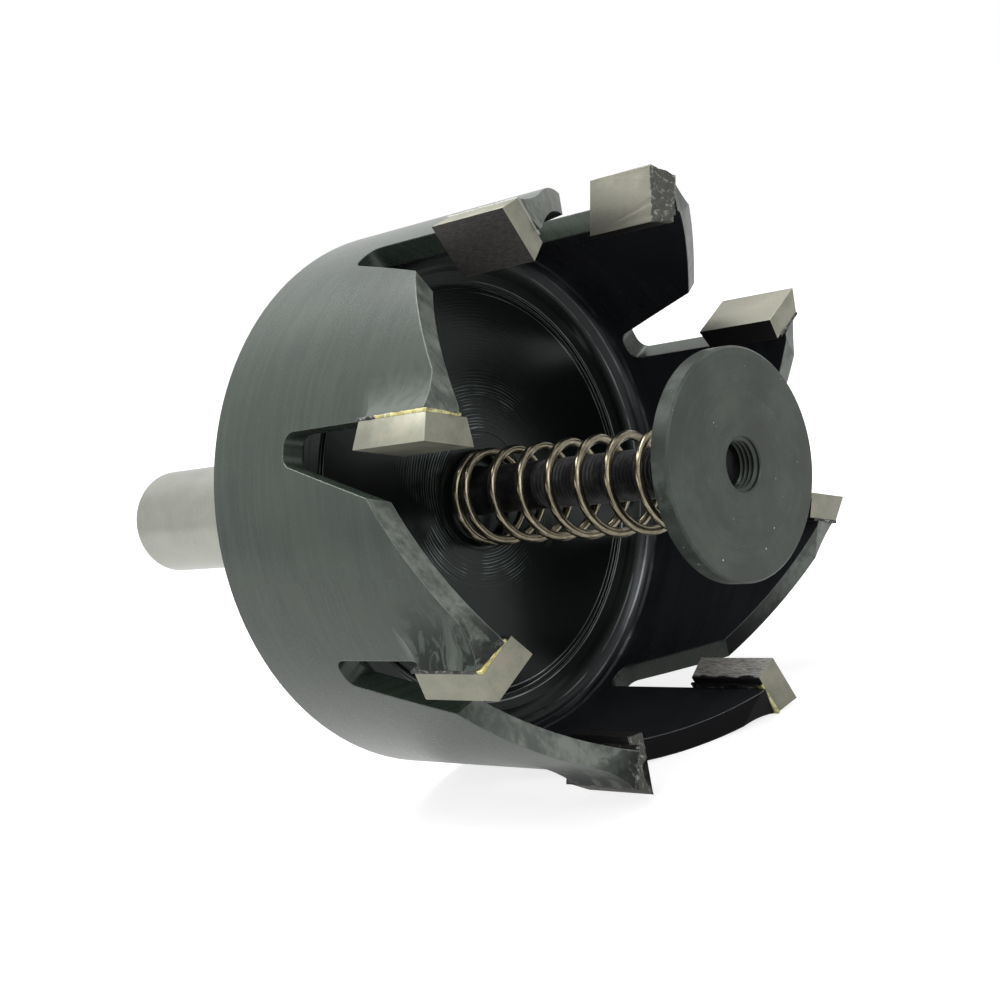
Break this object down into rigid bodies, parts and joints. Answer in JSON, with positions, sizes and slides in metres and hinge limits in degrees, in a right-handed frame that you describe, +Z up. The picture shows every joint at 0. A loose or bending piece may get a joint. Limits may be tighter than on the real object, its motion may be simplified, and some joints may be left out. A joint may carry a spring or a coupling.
{
  "type": "carbide hole cutter",
  "caption": "Hole cutter lying on its side: a blackened steel cup with brazed carbide teeth, a plain round shank and a spring-loaded ejector disc.",
  "frame": {"origin": "on the floor under the middle of the tool's length, as it lies on its side", "axes": "+X along the tool's axis from the shank to the teeth, +Z up"},
  "size_m": [0.0908, 0.0564, 0.0565],
  "materials": {
    "blackened_steel": "satin black oxide, turned",
    "ground_steel": "ground",
    "carbide": "ground sintered carbide",
    "braze": "silver braze, as flowed",
    "spring_wire": "drawn wire",
    "dark_steel": "satin black oxide, turned",
    "black_screw": "black oxide"
  },
  "bodies": {
    "cutter": {"cutter_body": "blackened_steel", "shank": "ground_steel", "ejector_spring": "spring_wire", "carbide_tip_1": "carbide", "carbide_tip_2": "carbide", "carbide_tip_3": "carbide", "carbide_tip_4": "carbide", "carbide_tip_5": "carbide", "carbide_tip_6": "carbide", "carbide_tip_7": "carbide", "carbide_tip_8": "carbide", "braze_seam_1": "braze", "braze_seam_2": "braze", "braze_seam_3": "braze", "braze_seam_4": "braze", "braze_seam_5": "braze", "braze_seam_6": "braze", "braze_seam_7": "braze", "braze_seam_8": "braze"},
    "ejector": {"ejector_disc": "dark_steel", "ejector_screw": "black_screw"}
  },
  "joints": [
    {"name": "ejector_slide", "type": "slide", "parent": "cutter", "child": "ejector", "axis": [-1, 0, 0], "range_m": [0, 0.02], "stiffness_N_per_m": 1350, "springref_m": -0.007, "deforming": ["ejector_spring"]}
  ]
}
